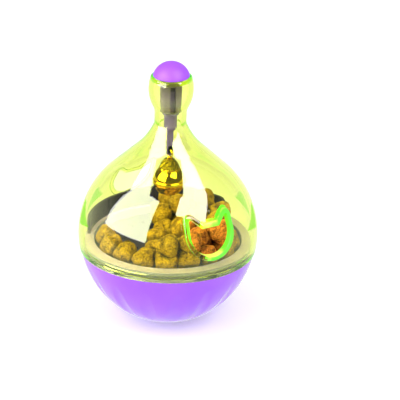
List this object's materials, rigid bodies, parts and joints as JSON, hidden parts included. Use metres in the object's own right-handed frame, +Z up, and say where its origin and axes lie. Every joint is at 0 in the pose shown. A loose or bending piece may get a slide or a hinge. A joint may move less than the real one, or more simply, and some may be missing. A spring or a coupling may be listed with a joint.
{
  "type": "cat treat ball",
  "caption": "Self-righting cat treat dispenser ball: weighted bowl, clear pear-shaped dome with cat-head outlets, turning gate ring and a bell hung inside.",
  "frame": {"origin": "centre of the flat foot, on the surface the ball stands on", "axes": "+Z up the ball's axis to the cap, outlets on -Y (open side) and +Y (side the gate wall covers at rest)"},
  "size_m": [0.086, 0.0876, 0.13],
  "materials": {
    "purple_plastic": "gloss",
    "clear_plastic": "gloss, clear tint",
    "dark_plastic": "gloss",
    "weight_iron": "as cast",
    "plated_steel": "zinc plated",
    "gold_wire": "bright",
    "bell_brass": "bright",
    "pressed_treat": "rough"
  },
  "bodies": {
    "base": {"base_bowl": "purple_plastic", "counterweight": "weight_iron", "weight_washer": "plated_steel", "weight_screw": "plated_steel", "floor_tray": "purple_plastic", "treats": "pressed_treat"},
    "gate_ring": {"gate_ring": "purple_plastic"},
    "dome": {"dome": "clear_plastic", "top_cap": "purple_plastic", "hanger_stem": "dark_plastic"},
    "jump_ring": {"jump_ring": "gold_wire"},
    "bell": {"bell_loop": "gold_wire", "bell_upper": "bell_brass", "bell_lower": "bell_brass"},
    "pellet": {"bell_pellet": "plated_steel"}
  },
  "joints": [
    {"name": "closure_lift", "type": "slide", "parent": "base", "child": "gate_ring", "axis": [0, 0, 1], "range_m": [0, 0.08]},
    {"name": "dome_turn", "type": "hinge", "parent": "gate_ring", "child": "dome", "pos_m": [0, 0, 0.0353], "axis": [0, 0, 1], "continuous": true},
    {"name": "ring_swing", "type": "hinge", "parent": "dome", "child": "jump_ring", "pos_m": [0, 0, 0.08605], "axis": [0, 1, 0], "range_deg": [-25, 25]},
    {"name": "bell_swing", "type": "hinge", "parent": "jump_ring", "child": "bell", "pos_m": [0, 0, 0.08312], "axis": [1, 0, 0], "range_deg": [-25, 25]},
    {"name": "pellet_rattle", "type": "slide", "parent": "bell", "child": "pellet", "axis": [0, 0, 1], "range_m": [0, 0.01]}
  ]
}
